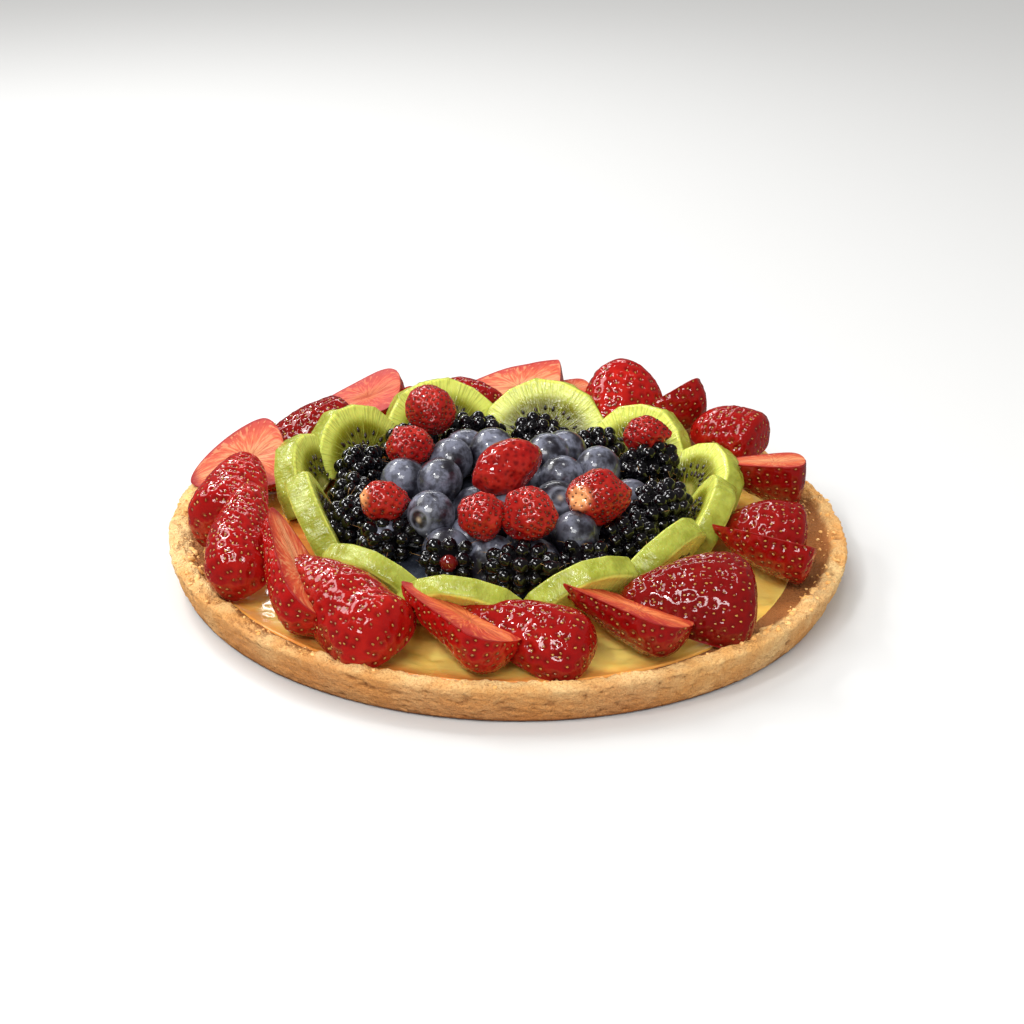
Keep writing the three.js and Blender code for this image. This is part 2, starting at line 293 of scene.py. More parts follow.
def noiseBetween(tree, scale, low, high):
    settings = {"Value": noise(tree, scale, 3), "From Min": 0.3, "From Max": 0.7, "To Min": low, "To Max": high}
    return addNode(tree, "ShaderNodeMapRange", settings).outputs["Result"]


def attribute(tree, name):
    return addNode(tree, "ShaderNodeAttribute", attribute_name=name).outputs["Fac"]


# the three numbers of a place that the mesh keeps
def placeParts(tree, name):
    place = addNode(tree, "ShaderNodeAttribute", attribute_name=name).outputs["Vector"]
    return addNode(tree, "ShaderNodeSeparateXYZ", {0: place}).outputs


# noise in streaks that run out from a middle
def streaks(tree, angle, away, third, scale):
    place = addNode(tree, "ShaderNodeCombineXYZ", {0: angle, 1: away, 2: third}).outputs[0]
    return noise(tree, scale, 2, place=place)


def rgb(*parts):
    return tuple(c / 255 / 12.92 if c <= 10 else ((c / 255 + 0.055) / 1.055) ** 2.4 for c in parts) + (1.0,)


shaderSockets = {
    "roughness": "Roughness", "specular": "Specular IOR Level", "coat": "Coat Weight",
    "coatRoughness": "Coat Roughness", "glow": "Subsurface Weight", "glowScale": "Subsurface Scale",
}


def newMaterial(name, **constants):
    material = bpy.data.materials.new(name)
    material.use_nodes = True
    shader = material.node_tree.nodes["Principled BSDF"]
    for key, value in constants.items():
        shader.inputs[shaderSockets[key]].default_value = value
    return material, material.node_tree, shader


def connect(shader, colour, roughness=None, height=None, distance=None, strength=None):
    inputs = {"Base Color": colour}
    if roughness:
        inputs["Roughness"] = roughness
    if height:
        settings = {"Height": height, "Distance": distance, "Strength": strength}
        inputs["Normal"] = addNode(shader.id_data, "ShaderNodeBump", settings).outputs[0]
    setSockets(shader.id_data, shader, inputs)


def newGroup(name, inputs, outputs):
    tree = bpy.data.node_groups.new(name, "ShaderNodeTree")
    for label, value in inputs.items():
        kind = "NodeSocketColor" if isinstance(value, tuple) else "NodeSocketFloat"
        tree.interface.new_socket(label, in_out="INPUT", socket_type=kind).default_value = value
    for label, kind in outputs.items():
        tree.interface.new_socket(label, in_out="OUTPUT", socket_type=kind)
    return tree, addNode(tree, "NodeGroupInput").outputs, addNode(tree, "NodeGroupOutput").inputs


def useGroup(tree, group, values):
    node = addNode(tree, "ShaderNodeGroup", node_tree=group)
    setSockets(tree, node, values)
    return node.outputs


white, black = (1, 1, 1, 1), (0, 0, 0, 1)


# two colours that change over into each other in blotches
def mottleGroup():
    inputs = {"Pale": white, "Deep": black, "Scale": 60, "Balance": 0.5, "Softness": 0.2}
    tree, given, made = newGroup("mottle", inputs, {"Color": "NodeSocketColor", "Value": "NodeSocketFloat"})
    low = calc("SUBTRACT", given["Balance"], given["Softness"])
    high = calc("ADD", given["Balance"], given["Softness"])
    value = band(noise(tree, given["Scale"], 4, 0.6), low, high)
    tree.links.new(value, made["Value"])
    tree.links.new(cover(value, given["Deep"], given["Pale"]), made["Color"])
    return tree


# fine uneven height for baked surfaces
def grainGroup():
    tree, given, made = newGroup("grain", {"Scale": 800}, {"Height": "NodeSocketFloat"})
    place = objectPlace(tree)
    coarse = noise(tree, given["Scale"], 5, 0.65, place)
    cells = addNode(tree, "ShaderNodeTexVoronoi", {"Vector": place, "Scale": given["Scale"]}).outputs["Distance"]
    tree.links.new(calc("ADD", times(cells, 0.4), coarse), made["Height"])
    return tree


mottle = mottleGroup()
grain = grainGroup()


def mottled(tree, scale, balance, softness, pale=white, deep=black):
    values = {"Pale": pale, "Deep": deep, "Scale": scale, "Balance": balance, "Softness": softness}
    return useGroup(tree, mottle, values)


def grained(tree, scale):
    return useGroup(tree, grain, {"Scale": scale})["Height"]


# crust: one shell of revolution from the middle of the underside over the rim to the middle of the floor
crust = {
    "segments": 900, "rings": 100, "smoothing": 41,
    "path": [
        (0, 0, 0), (0.05, 114.3, 0), (0.07, 115.5, 0.7), (0.22, 117.7, 5.5), (0.37, 119.3, 10.8),
        (0.45, 119.7, 13.2), (0.48, 118.8, 14.1), (0.57, 115.2, 14.2), (0.61, 113.8, 13.4),
        (0.68, 111.2, 11.4), (0.78, 107.4, 9.6), (0.86, 104.5, 7), (0.93, 103, 3), (1, 0, 3),
    ],
    # height, size and seed of each layer of lumps
    "lumps": [(0.22, 13, 1), (0.16, 5, 2), (0.2, 2.3, 3), (0.4, 1.15, 4)],
    "clodHeight": 1.9, "crackDepth": 0.6, "pitDepth": 0.55,
    "crackSize": (11, 9, 1.7), "pitSize": (2.6, 2.6, 1.3), "girthRadius": 117,
    "frontBrowningAndShade": 0.58, "footBrowning": 0.2, "patchBrowning": 0.3, "scorch": 0.9,
    "pale": rgb(248, 212, 148), "golden": rgb(236, 174, 98), "brown": rgb(192, 114, 52),
    # dark is the scorched bottom edge and also painted shade in hollows; inside is painted shade on the inner wall
    "dark": rgb(122, 64, 26), "inside": rgb(164, 96, 44),
}

custard = {
    "segments": 400, "rings": 90, "edgeInset": 5.2, "drawnBack": 4.5, "runUp": 5.2, "lift": 3.1,
    "lumps": [(0.45, 17, 1), (0.28, 7, 2), (0.1, 2.6, 3)], "dentDepth": 0.45,
    "pale": rgb(255, 222, 118), "deep": rgb(253, 194, 84), "stainedAndShaded": rgb(222, 118, 52),
}


def wave(angle, seed):
    return 0.5 * np.sin(3 * angle + seed) + 0.3 * np.sin(7 * angle + 2.1 * seed) + 0.2 * np.sin(13 * angle + 3.7 * seed)


# how much the filling draws back from the wall at each bearing: it does so at the right
def drawnBack(angle):
    return np.clip(np.cos(angle + 0.1), 0, 1) ** 2


# how much the filling runs up the wall at each bearing: it does so at the front
def runUp(angle):
    return np.clip(-np.sin(angle + 0.2), 0, 1) ** 1.5


def crustMaterial():
    material, tree, shader = newMaterial("bakedCrust", specular=0.35)
    relief = attribute(tree, "relief")
    colour = mottled(tree, 45, 0.5, 0.16, crust["pale"], crust["golden"])["Color"]
    # darker browns, partly baked colour and partly painted shade at the front
    colour = cover(attribute(tree, "browningAndShade"), colour, crust["brown"])
    # raised lumps come out paler, and the hollows, pits and cracks are painted darker as painted shade
    colour = cover(band(relief, 0.1, 0.9), colour, crust["pale"], 0.35)
    colour = cover(mottled(tree, 1500, 0.56, 0.06)["Value"], colour, crust["brown"], 0.4)
    colour = cover(band(relief, -0.3, -1.0), colour, crust["dark"], 0.6)
    # the inner wall gets painted shade in the inside colour
    colour = cover(attribute(tree, "inside"), colour, crust["inside"])
    colour = cover(attribute(tree, "scorch"), colour, crust["dark"])
    connect(shader, colour, noiseBetween(tree, 90, 0.6, 0.9), grained(tree, 1000), 0.0014, 1.0)
    return material


def makeCrust():
    piece = addBall("shortcrust", crust)
    down, angle = ballPlaces(piece)
    along = 1 - down
    back = drawnBack(angle)
    steps = np.linspace(0, 1, 2001)
    middle = (steps > 0.075) & (steps < 0.91)
    window = np.ones(crust["smoothing"]) / crust["smoothing"]
    smooth = [np.where(middle, np.convolve(v, window, "same"), v) for v in followPath(crust["path"], steps)]
    r, z = (np.interp(along, steps, values) for values in smooth)
    r = r - custard["drawnBack"] * back * ramp(along, 0.7, 0.1) * ramp(r, 0, 60)
    r = np.where(r > 1, r + 0.7 * ramp(z, 0, 9) * wave(angle, 1.3), r)
    z = z + np.where(z > 11.5, 0.5, 0) * wave(angle, 4.2)
    points = onCircle(r, angle, z)
    setPoints(piece, points)
    normals = getNormals(piece)

    # crumbly relief: lumps on the rim, pits and short level cracks in the wall
    wall = ramp(along, 0.07, 0.03) * ramp(along, 0.47, -0.06)
    rim = bump(along, 0.56, 0.09)
    inside = ramp(along + 0.045 * back, 0.62, 0.05)
    ragged = 0.45 + 0.55 * np.clip(np.abs(np.cos(angle - 0.25)) ** 2 + 0.3 * lumps(points, 30, 3), 0, 1)
    clods = np.clip(lumps(points, 5.4, 5) + 0.15, 0, 1) ** 0.6 + 0.7 * np.clip(lumps(points, 2.4, 6), 0, 1)
    relief = layered(points, *crust["lumps"]) + rim * ragged * (crust["clodHeight"] * clods - 0.7)
    girth = 2 * math.pi * crust["girthRadius"]
    around = np.mod(angle - math.pi / 2, 2 * math.pi) * crust["girthRadius"]
    cracks = np.clip(1 - np.abs(lumps(stack(around, z * 0, z), crust["crackSize"], 7)) / 0.07, 0, 1)
    cracks = cracks * np.clip(lumps(points, 9, 8) * 3 - 0.9, 0, 1) * ramp(np.minimum(around, girth - around), 0, 12)
    pits = ramp(lumps(points, crust["pitSize"], 9), 0.36, 0.2)
    relief = relief * (1 - 0.6 * inside) - wall * (crust["crackDepth"] * cracks + crust["pitDepth"] * pits)
    relief = relief * ramp(along, 0.06, 0.03) * np.where(along > 0.9, 0, 1)
    points = points + normals * (relief * np.maximum(ramp(points[:, 2], 0, 1.5), 0.3))[:, None]
    points[:, 2] = np.maximum(points[:, 2], 0)
    points[:, :2] *= min(1.004 * tart["rimRadius"] / np.hypot(points[:, 0], points[:, 1]).max(), 1)
    setPoints(piece, points * mm)

    # where it is darker: the front, partly baked colour and partly painted shade on the side away from the light;
    # towards the foot; the inside of the wall, as painted shade; and the bottom edge, baked darker
    front = np.clip(-np.sin(angle + 0.1), 0, 1) ** 3
    browningAndShade = crust["frontBrowningAndShade"] * front * (1 - 0.8 * rim) * (1 - inside)
    browningAndShade += crust["footBrowning"] * ramp(z, 13, -13) + crust["patchBrowning"] * lumps(points, 24, 12) + 0.08
    # how much of the inner wall gets painted shade, more at the right
    wallShadeShare = inside * (1 - rim * (1 - 0.6 * back)) * 1.3 + 0.25 * inside * lumps(points, 9, 14)
    edge = np.clip((lumps(points, 22, 10) + 0.25 + 0.9 * np.cos(angle + 2.05)) * 1.4, 0, 1)
    keepValues(piece, "relief", relief)
    keepValues(piece, "browningAndShade", np.clip(browningAndShade, 0, 1))
    keepValues(piece, "inside", 0.9 * np.clip(wallShadeShare, 0, 1))
    keepValues(piece, "scorch", crust["scorch"] * ramp(points[:, 2], 1.7, -0.9) * edge)
    finishPiece(piece, crustMaterial(), "crust")
    return points, along, angle


crustPoints, crustAlong, crustAngle = makeCrust()
print("crust made")

# loose crumbs all round the rim, and clods where it has broken: bearing and half width of each stretch, in radians
crumb = {"count": 420, "size": (0.3, 1.0), "clods": 60, "clodSize": (1.2, 2.6), "broken": [(3.25, 0.45), (-0.62, 0.3)]}


def makeCrumbs():
    draw = np.random.default_rng(5)
    top = np.nonzero((crustAlong > 0.46) & (crustAlong < 0.72))[0]
    weight = 0.25 + np.abs(np.cos(crustAngle[top] - 0.25)) ** 3
    template = addPrimitive("ico_sphere", "crumbShape", subdivisions=2, radius=1)
    shape = getPoints(template)
    setPoints(template, shape * (1 + 0.45 * lumps(shape, 0.8, 4))[:, None] * np.array([1, 0.85, 0.6]))
    places = []

    def scatter(chosen, sizes, power, tilt, lift):
        for k in chosen:
            size = sizes[0] + (sizes[1] - sizes[0]) * draw.random() ** power
            out = np.array([0, 0, 1]) + tilt * draw.normal(size=3)
            spot = crustPoints[k] + np.array([0, 0, lift * size])
            places.append(facing(spot, draw.normal(size=3), out, size * (0.7 + 0.5 * draw.random(3))))

    chosen = draw.choice(top, crumb["count"], replace=False, p=weight / weight.sum())
    scatter(chosen, crumb["size"], 2.5, 0.5, 0.12)
    broken = [np.abs(np.angle(np.exp(1j * (crustAngle[top] - at)))) < half for at, half in crumb["broken"]]
    edge = top[np.any(broken, axis=0) & (crustAlong[top] > 0.52) & (crustAlong[top] < 0.66)]
    scatter(draw.choice(edge, crumb["clods"], replace=False), crumb["clodSize"], 2, 0.4, -0.45)
    piece = joinCopies("crumbs", template, places, draw.random(len(places)))
    material, tree, shader = newMaterial("crumb", specular=0.3)
    colour = cover(attribute(tree, "tone"), crust["golden"], crust["pale"], 0.5)
    connect(shader, colour, noiseBetween(tree, 90, 0.6, 0.85), grained(tree, 1400), 0.0003, 0.6)
    finishPiece(piece, material)


makeCrumbs()


def makeCustard():
    piece = addBall("custardFilling", custard)
    along, angle = ballPlaces(piece)
    edge = tart["rimRadius"] - tart["rimWidth"] - custard["edgeInset"]
    top = tart["custardTop"]
    path = [
        (0, 0, top), (0.12, 60, top), (0.3, edge - 28, top), (0.45, edge - 18, 10.7), (0.6, edge - 9, 9.8),
        (0.7, edge - 2, 9.2), (0.76, edge, 9.1), (0.8, edge + 0.6, 8.2), (0.86, edge - 2, 6),
        (0.92, edge - 5, 3.4), (1, 0, 3.4),
    ]
    r, z = followPath(path, along)
    outer = ramp(r, 92, 14)
    r = r - custard["drawnBack"] * drawnBack(angle) * ramp(r, 80, 22) + custard["runUp"] * runUp(angle) * outer
    z = z + custard["lift"] * runUp(angle) * outer ** 2 * ramp(along, 0.79, -0.02)
    flat = onCircle(r, angle, z * 0)
    dents = ramp(lumps(flat, 3.4, 4), 0.5, 0.2)
    uneven = layered(flat, *custard["lumps"]) - custard["dentDepth"] * dents
    z = z + ramp(along, 0.78, -0.1) * ramp(r, 62, 10) * uneven
    setPoints(piece, stack(flat[:, 0], flat[:, 1], z) * mm)
    # darker orange under the fruit, partly juice stain and partly painted shade, and where the filling runs up the
    # front wall
    stainAndShadeUnderFruit = np.clip(1.0 - (r - 76) / 14 + 0.45 * lumps(flat, 8, 6), 0, 1)
    atWall = np.clip((r - 103) / 5 + 0.5 * lumps(flat, 9, 7), 0, 1) * runUp(angle)
    keepValues(piece, "stainAndShade", np.maximum(stainAndShadeUnderFruit, atWall))
    material, tree, shader = newMaterial("glazedCustard", coat=0.8, coatRoughness=0.03, glow=0.15, glowScale=0.003)
    body = mottled(tree, 60, 0.5, 0.2, custard["pale"], custard["deep"])["Color"]
    # the juice stain and the painted shade under the fruit
    stainedAndShaded = cover(attribute(tree, "stainAndShade"), body, custard["stainedAndShaded"], 0.8)
    connect(shader, stainedAndShaded, noiseBetween(tree, 80, 0.1, 0.3), noise(tree, 260, 3), 0.0006, 0.35)
    finishPiece(piece, material, "custard")


makeCustard()
print("custard made")

# strawberries: halves with the cut on their own lower side, a blunt hulled end and a tip
strawberries = readTable("bearing reach rise turn pitch roll length width depth flesh ripe endDepth tipPower", [
    (167.4, 101, 19.5, -176, -22, 150, 38, 31, 16, "pale"),
    (-173.7, 95, 19, 86, 22, -35, 42, 30, 18, "red", 0.1),
    (-153.6, 95.7, 19, 94, 20, -35, 53, 24, 17, "red", 0.15),
    (-135.3, 94.3, 24, 113, 14, -140, 58, 26, 14, "pale"),
    (-123.3, 96.3, 15, 128, 8, -25, 62, 30, 16, "red", 0.2),
    (-99.1, 95.1, 20.5, 139, 5, -160, 47, 28, 14, "orange"),
    (-87, 94, 14, 160, 7, -25, 50, 26, 11, "red", 0.4),
    (-65.6, 91.6, 21.5, 151, 5, -160, 47, 26, 13, "orange", 0.5),
    (-50.1, 92.2, 14, -174, 5, -25, 45, 36, 16, "red", 0.8),
    (-21, 94, 24, 168, 8, -152, 37, 25, 13, "orange", 0.4, 0.14),
    (-9.8, 90.6, 17, 175, 6, 0, 32, 28, 14, "red", 0.6, 0.2, 2.2),
    (14.3, 96.1, 28, 179, -4, -167, 31, 28, 18, "pale", 0.6),
    (34.6, 100.5, 21, 149, 6, 0, 30, 29, 16, "red", 0.3, 0.2, 2.4),
    (55, 96, 26, -159, -23, -140, 44, 27, 14, "red", 0.3),
    (62.7, 93.7, 25, 80, 60, 0, 35, 34, 14, "red", 0, 0.2, 2.6),
    (76.7, 100.3, 26, -169, 0, 180, 20, 16, 10, "pale"),
    (90.8, 98, 25, 172, -13, 160, 45, 28, 15, "pale", 0, 0.06),
    (98, 94, 20, -29, 17, 20, 26, 22, 12, "red", 0.5),
    (118.1, 88.5, 22, -124, 0, 0, 16, 14, 9, "red"),
    (125.3, 103.8, 25, 176, -22, 160, 38, 24, 14, "red"),
    (141, 99, 17.5, -152, -8, 30, 40, 26, 12, "red", 0.7, 0.2, 1.9),
], ripe=0, endDepth=0.2, tipPower=1.35)

berry = {
    "segments": 116, "rings": 88, "tipPower": 1.35, "end": 0.25, "shoulderAt": 0.24, "sharpAngle": 55,
    "seedGap": 3.35, "dimpleDepth": 0.62, "dimpleSize": 0.95, "swell": 0.14, "seedSize": (0.54, 0.33, 0.28),
    "skin": rgb(150, 13, 10), "skinDimpleShade": rgb(96, 3, 4), "skinBright": rgb(176, 28, 18),
    "skinRipe": rgb(98, 6, 6), "shoulder": rgb(188, 42, 24), "seedPale": rgb(190, 142, 62), "seedDeep": rgb(126, 68, 24),
    "flesh": {
        "pale": {"Core": rgb(206, 138, 90), "Mid": rgb(198, 88, 44), "Outer": rgb(174, 40, 14)},
        "orange": {"Core": rgb(206, 112, 58), "Mid": rgb(180, 56, 24), "Outer": rgb(154, 20, 10)},
        "red": {"Core": rgb(196, 102, 60), "Mid": rgb(184, 58, 30), "Outer": rgb(164, 28, 14)},
    },
}


def berryOutline(t, spot):
    t = np.maximum(t, spot["endDepth"])
    tip = ramp(t, berry["shoulderAt"], 1 - berry["shoulderAt"])
    hull = ramp(t, berry["shoulderAt"], -berry["shoulderAt"])
    return (1 - tip ** spot["tipPower"]) ** 0.6 * (1 - 0.1 * hull ** 2)


# a point of the half berry from how far along, across and up it is, each as a share
def berryPoint(spot, number, t, across, up, dent=0.0):
    wide = berryOutline(t, spot)
    uneven = 1 + 0.07 * lumps(stack(t * spot["length"], across * 9, up * 9), 12, number)
    bend = 1.6 * math.sin(number * 2.4) * np.sin(math.pi * t)
    x = spot["length"] * (t - 0.5) + dent
    return stack(x, across * wide * uneven * spot["width"] / 2 + bend, up * wide * uneven * spot["depth"])


def seedSpots(spot, draw):
    found = []
    deep = spot["endDepth"]
    for share in (0.22, 0.45) if deep > 0.1 else ():
        count = max(int(math.pi * share * spot["width"] / 2 / berry["seedGap"] + 0.5), 1)
        for k in range(count):
            angle = math.pi * (k + 0.5 + 0.16 * draw.normal()) / count
            t = deep * (1 - math.sqrt(1 - share ** 2))
            found.append((t, math.cos(angle) * share, max(math.sin(angle), 0.05) * share))
    rows = int(spot["length"] * 1.08 / berry["seedGap"])
    for row in range(rows):
        t = 0.02 + 0.95 * (row + 0.5) / rows
        cap = math.sqrt(max(1 - max(1 - t / deep, 0) ** 2, 0.05))
        radius = math.sqrt((spot["width"] ** 2 / 4 + spot["depth"] ** 2) / 2)
        girth = math.pi * radius * float(berryOutline(t, {**spot, "tipPower": berry["tipPower"]})) * cap
        count = max(int(girth / berry["seedGap"] + 0.5), 2)
        for k in range(count):
            angle = math.pi * (k + 0.25 + 0.5 * (row % 2) + 0.2 * draw.normal()) / count
            found.append((t + 0.011 * draw.normal(), math.cos(angle) * cap, max(math.sin(angle), 0.04) * cap))
    return np.array(found).T


# presses the lower half of the ball flat and says which points are on the cut
def cutBall(piece):
    cut = getPoints(piece)[:, 2] < 1e-4
    bpy.ops.object.mode_set(mode="EDIT")
    bpy.ops.mesh.select_mode(type="VERT")
    bpy.ops.mesh.select_all(action="DESELECT")
    bpy.ops.object.mode_set(mode="OBJECT")
    piece.data.vertices.foreach_set("select", cut)
    bpy.ops.object.mode_set(mode="EDIT")
    bpy.ops.transform.resize(value=(1, 1, 0), center_override=(0, 0, 0))
    bpy.ops.object.mode_set(mode="OBJECT")
    return cut


seedPlaces, seedTones = [], []


def makeStrawberry(number, spot, materials):
    draw = np.random.default_rng(100 + number)
    piece = addBall(f"cutStrawberry_{number}", berry, rotation=(0, math.pi / 2, 0))
    cut = cutBall(piece)
    points = getPoints(piece)
    along = 1 - np.arccos(np.clip(points[:, 0], -1, 1)) / math.pi
    girth = np.sqrt(np.maximum(1 - points[:, 0] ** 2, 1e-9))
    across, up = points[:, 1] / girth, np.where(cut, 0, points[:, 2] / girth)

    # the hulled end is a shallow dome with a dent, and the rest runs out to the tip
    end, deep = berry["end"], spot["endDepth"]
    rise = ramp(along, 0, end)
    body = 1 - (1 - ramp(along, end, 1 - end)) ** 1.5
    t = np.where(along < end, deep * (1 - np.cos(rise * math.pi / 2)), deep + (1 - deep) * body)
    capShare = np.where(along < end, np.sin(rise * math.pi / 2) ** 0.85, 1)
    dent = np.where(along < end, 0.8 * (1 - rise ** 2) ** 2, 0)
    shape = berryPoint(spot, number, t, across * capShare, up * capShare, dent)
    hollow = 0.9 * bump(t, 0.36, 0.24) * bump(across, 0, 0.16) * (1 - np.abs(across))
    shape[:, 2] += np.where(cut, hollow + 0.12 * lumps(shape, 3, number) * (1 - across ** 2), 0)
    setPoints(piece, shape)
    normals = getNormals(piece)

    # a dimple at each seed and a swelling round it
    centres = berryPoint(spot, number, *seedSpots(spot, draw))
    apart = np.linalg.norm(shape[:, None] - centres[None], axis=2)
    dimple = np.exp(-((apart / berry["dimpleSize"]) ** 2)).sum(1)
    swell = bump(apart.min(1), 1.8, 0.7) + layered(shape, (0.9, 1.5, number + 50), (1.4, 4.5, number + 60))
    skin = np.where(cut, 0, 1)
    relief = berry["swell"] * swell - berry["dimpleDepth"] * np.minimum(dimple, 1.1)
    placed, turn, move = settle(piece, shape + normals * (skin * relief)[:, None], spot)
    for k in apart.argmin(0):
        out = turn @ normals[k]
        size = np.array(berry["seedSize"]) * (0.9 + 0.25 * draw.random())
        seedPlaces.append(facing(placed[k] + out * 0.12, turn[:, 0] + 0.2 * draw.normal(size=3), out, size))
        seedTones.append(draw.random())
    keepValues(piece, "fruitPlace", stack(t, across, np.where(cut, 0, up)))
    keepValues(piece, "dimple", np.clip(dimple, 0, 1) * skin)
    keepValues(piece, "ripe", np.full(len(shape), float(spot["ripe"])))
    finishPiece(piece, materials[spot["flesh"]], f"strawberry_{number}", berry["sharpAngle"])


# the cut side of a strawberry: a pale core with streaks that run out to a thin red edge
def cutBerryGroup():
    inputs = {"Core": white, "Mid": white, "Outer": white, "Skin": white}
    tree, given, made = newGroup("cutBerry", inputs, {"Color": "NodeSocketColor", "Height": "NodeSocketFloat"})
    parts = placeParts(tree, "fruitPlace")
    along = times(calc("SUBTRACT", parts[0], 0.4), 2.3)
    across = calc("ABSOLUTE", parts[1])
    away = calc("SQRT", calc("ADD", times(along, along), times(across, across)))
    angle = calc("ARCTAN2", parts[1], along)
    rays = streaks(tree, times(angle, 5.5), times(away, 1.1), parts[1], 2.2)
    side = calc("ADD", across, times(calc("SUBTRACT", rays, 0.5), 0.22))
    fromCore = calc("ADD", across, times(away, 0.25))
    pith = times(band(across, 0.1, 0.03), band(parts[0], 0.75, 0.5))
    colour = cover(band(fromCore, 0.2, 0.52), given["Core"], given["Mid"])
    colour = cover(pith, colour, given["Outer"], 0.5)
    colour = cover(band(side, 0.55, 0.86), colour, given["Outer"])
    colour = cover(band(rays, 0.53, 0.58), colour, given["Core"], 0.6)
    colour = cover(band(rays, 0.47, 0.41), colour, given["Outer"], 0.6)
    edge = calc("MAXIMUM", band(side, 0.9, 0.97), band(parts[0], 0.86, 0.98))
    tree.links.new(cover(edge, colour, given["Skin"]), made["Color"])
    tree.links.new(rays, made["Height"])
    return tree


cutBerry = cutBerryGroup()


def strawberryMaterial(kind):
    material, tree, shader = newMaterial("strawberry_" + kind, specular=0.5)
    parts = placeParts(tree, "fruitPlace")
    skin = mottled(tree, 90, 0.58, 0.16, berry["skinBright"], berry["skin"])["Color"]
    skin = cover(band(parts[0], 0.03, 0.0), skin, berry["shoulder"], 0.3)
    skin = cover(attribute(tree, "ripe"), skin, berry["skinRipe"])
    # painted shade in the seed dimples
    skin = cover(attribute(tree, "dimple"), skin, berry["skinDimpleShade"])
    flesh = useGroup(tree, cutBerry, {**berry["flesh"][kind], "Skin": berry["skin"]})
    isSkin = band(parts[2], 0.01, 0.05)
    isCut = calc("SUBTRACT", 1.0, isSkin)
    colour = cover(isSkin, flesh["Color"], skin)
    rough = calc("ADD", noiseBetween(tree, 240, 0.04, 0.1), times(isCut, 0.5))
    height = calc("ADD", times(isCut, flesh["Height"]), times(noise(tree, 420, 1.5), 0.8))
    connect(shader, colour, rough, height, 0.0006, 0.6)
    return material


strawberryMaterials = {kind: strawberryMaterial(kind) for kind in berry["flesh"]}
for number, spot in enumerate(strawberries, 1):
    makeStrawberry(number, spot, strawberryMaterials)


def makeSeeds(name, places, tones, look):
    template = addBall("seedShape", {"segments": 8, "rings": 4})
    shape = getPoints(template)
    shape[:, 1] *= 1 - 0.45 * np.clip(shape[:, 0], -1, 1)
    setPoints(template, shape)
    piece = joinCopies(name, template, places, tones)
    material, tree, shader = newMaterial(name + "Skin", coat=0.6, coatRoughness=0.1)
    colour = cover(attribute(tree, "tone"), look["seedDeep"], look["seedPale"])
    connect(shader, colour, noiseBetween(tree, 700, 0.25, 0.45))
    finishPiece(piece, material)


makeSeeds("strawberrySeeds", seedPlaces, seedTones, berry)
print("strawberries made")

# kiwi: half slices that stand on their straight edge and lean outwards
kiwis = readTable("bearing reach turn pitch diameter thickness", [
    (164.7, 72.9, 170, 64, 46, 9),
    (-169, 65, -168, 64, 46, 9),
    (142, 71, 142, 60, 48, 9),
    (110.7, 74.3, 110, 60, 50, 9),
    (78.6, 70.3, 80, 60, 52, 9),
    (46.4, 70.7, 47, 60, 48, 9),
    (16.6, 70.2, 18, 52, 46, 9),
    (-5.9, 66.5, -8, 62, 46, 9),
    (-36, 62, -36, 60, 46, 8.5),
    (-68.3, 66.9, -60, 60, 46, 8.5),
    (-126.5, 70.2, -124, 58, 46, 7.5),
    (-100.1, 75, -101, 56, 48, 7.5),
])

kiwi = {
    "segments": 180, "rings": 72, "cuts": 7, "flatter": 0.97, "corner": 1.3, "middle": 0.42, "sharpAngle": 60,
    "seedRing": (0.38, 0.52), "seedStep": 8.0, "seedArc": 172, "seedSize": (1.15, 0.6, 0.45),
    "rim": rgb(160, 166, 66), "rimDeep": rgb(132, 136, 36), "outer": rgb(154, 155, 28), "inner": rgb(90, 86, 5),
    "core": rgb(196, 184, 98), "band": rgb(212, 218, 98), "seedDeep": rgb(20, 14, 12), "seedPale": rgb(52, 32, 22),
}


# distance from the middle of a peeled slice to its edge: flat knife cuts that meet at blunt corners
def peeledRadius(angle, radius, number):
    share = np.clip((angle / math.pi + 0.5) * kiwi["cuts"], 0, kiwi["cuts"] - 0.0001)
    first = np.floor(share)
    longFirst = (first + number + 1) % 2 == 0
    near = np.where(longFirst, radius, kiwi["flatter"] * radius)
    far = np.where(longFirst, kiwi["flatter"] * radius, radius)
    step = math.pi / kiwi["cuts"]
    into = (share - first) * step
    knife = near * far * math.sin(step) / (near * np.sin(into) + far * np.sin(step - into))
    return 0.88 * knife + 0.12 * 0.985 * radius


# a half disc with rounded edges, and each point's share of the way out over a face and round to the other face
def kiwiShape(piece, radius, half, number):
    share, angle = ballPlaces(piece)
    middle, corner, ahead = kiwi["middle"] * radius, kiwi["corner"], np.cos(angle)
    arc = -middle * ahead + np.sqrt((middle * ahead) ** 2 - middle ** 2 + radius ** 2)
    straight = np.where(ahead < -1e-3, middle / np.maximum(-ahead, 1e-3), 1e4)
    reach = (arc ** -14 + straight ** -14) ** (-1 / 14)
    side = np.sign(0.5 - share)
    folded = np.minimum(share, 1 - share)
    bend = ramp(folded, 0.38, 0.05) * math.pi / 2
    out = ramp(folded, 0, 0.38) * (reach - corner) + corner * np.sin(bend)
    z = side * (half - corner + corner * np.cos(bend))
    z = np.where(folded > 0.43, side * (half - corner) * (1 - ramp(folded, 0.43, 0.07)), z)
    x, y = middle + out * ahead, out * np.sin(angle)
    around = np.arctan2(y, np.maximum(x, 1e-6))
    scale = peeledRadius(around, radius, number) / radius
    return stack(x * scale, y * scale, z), side, folded, around, x


kiwiSeedPlaces, kiwiSeedTones = [], []


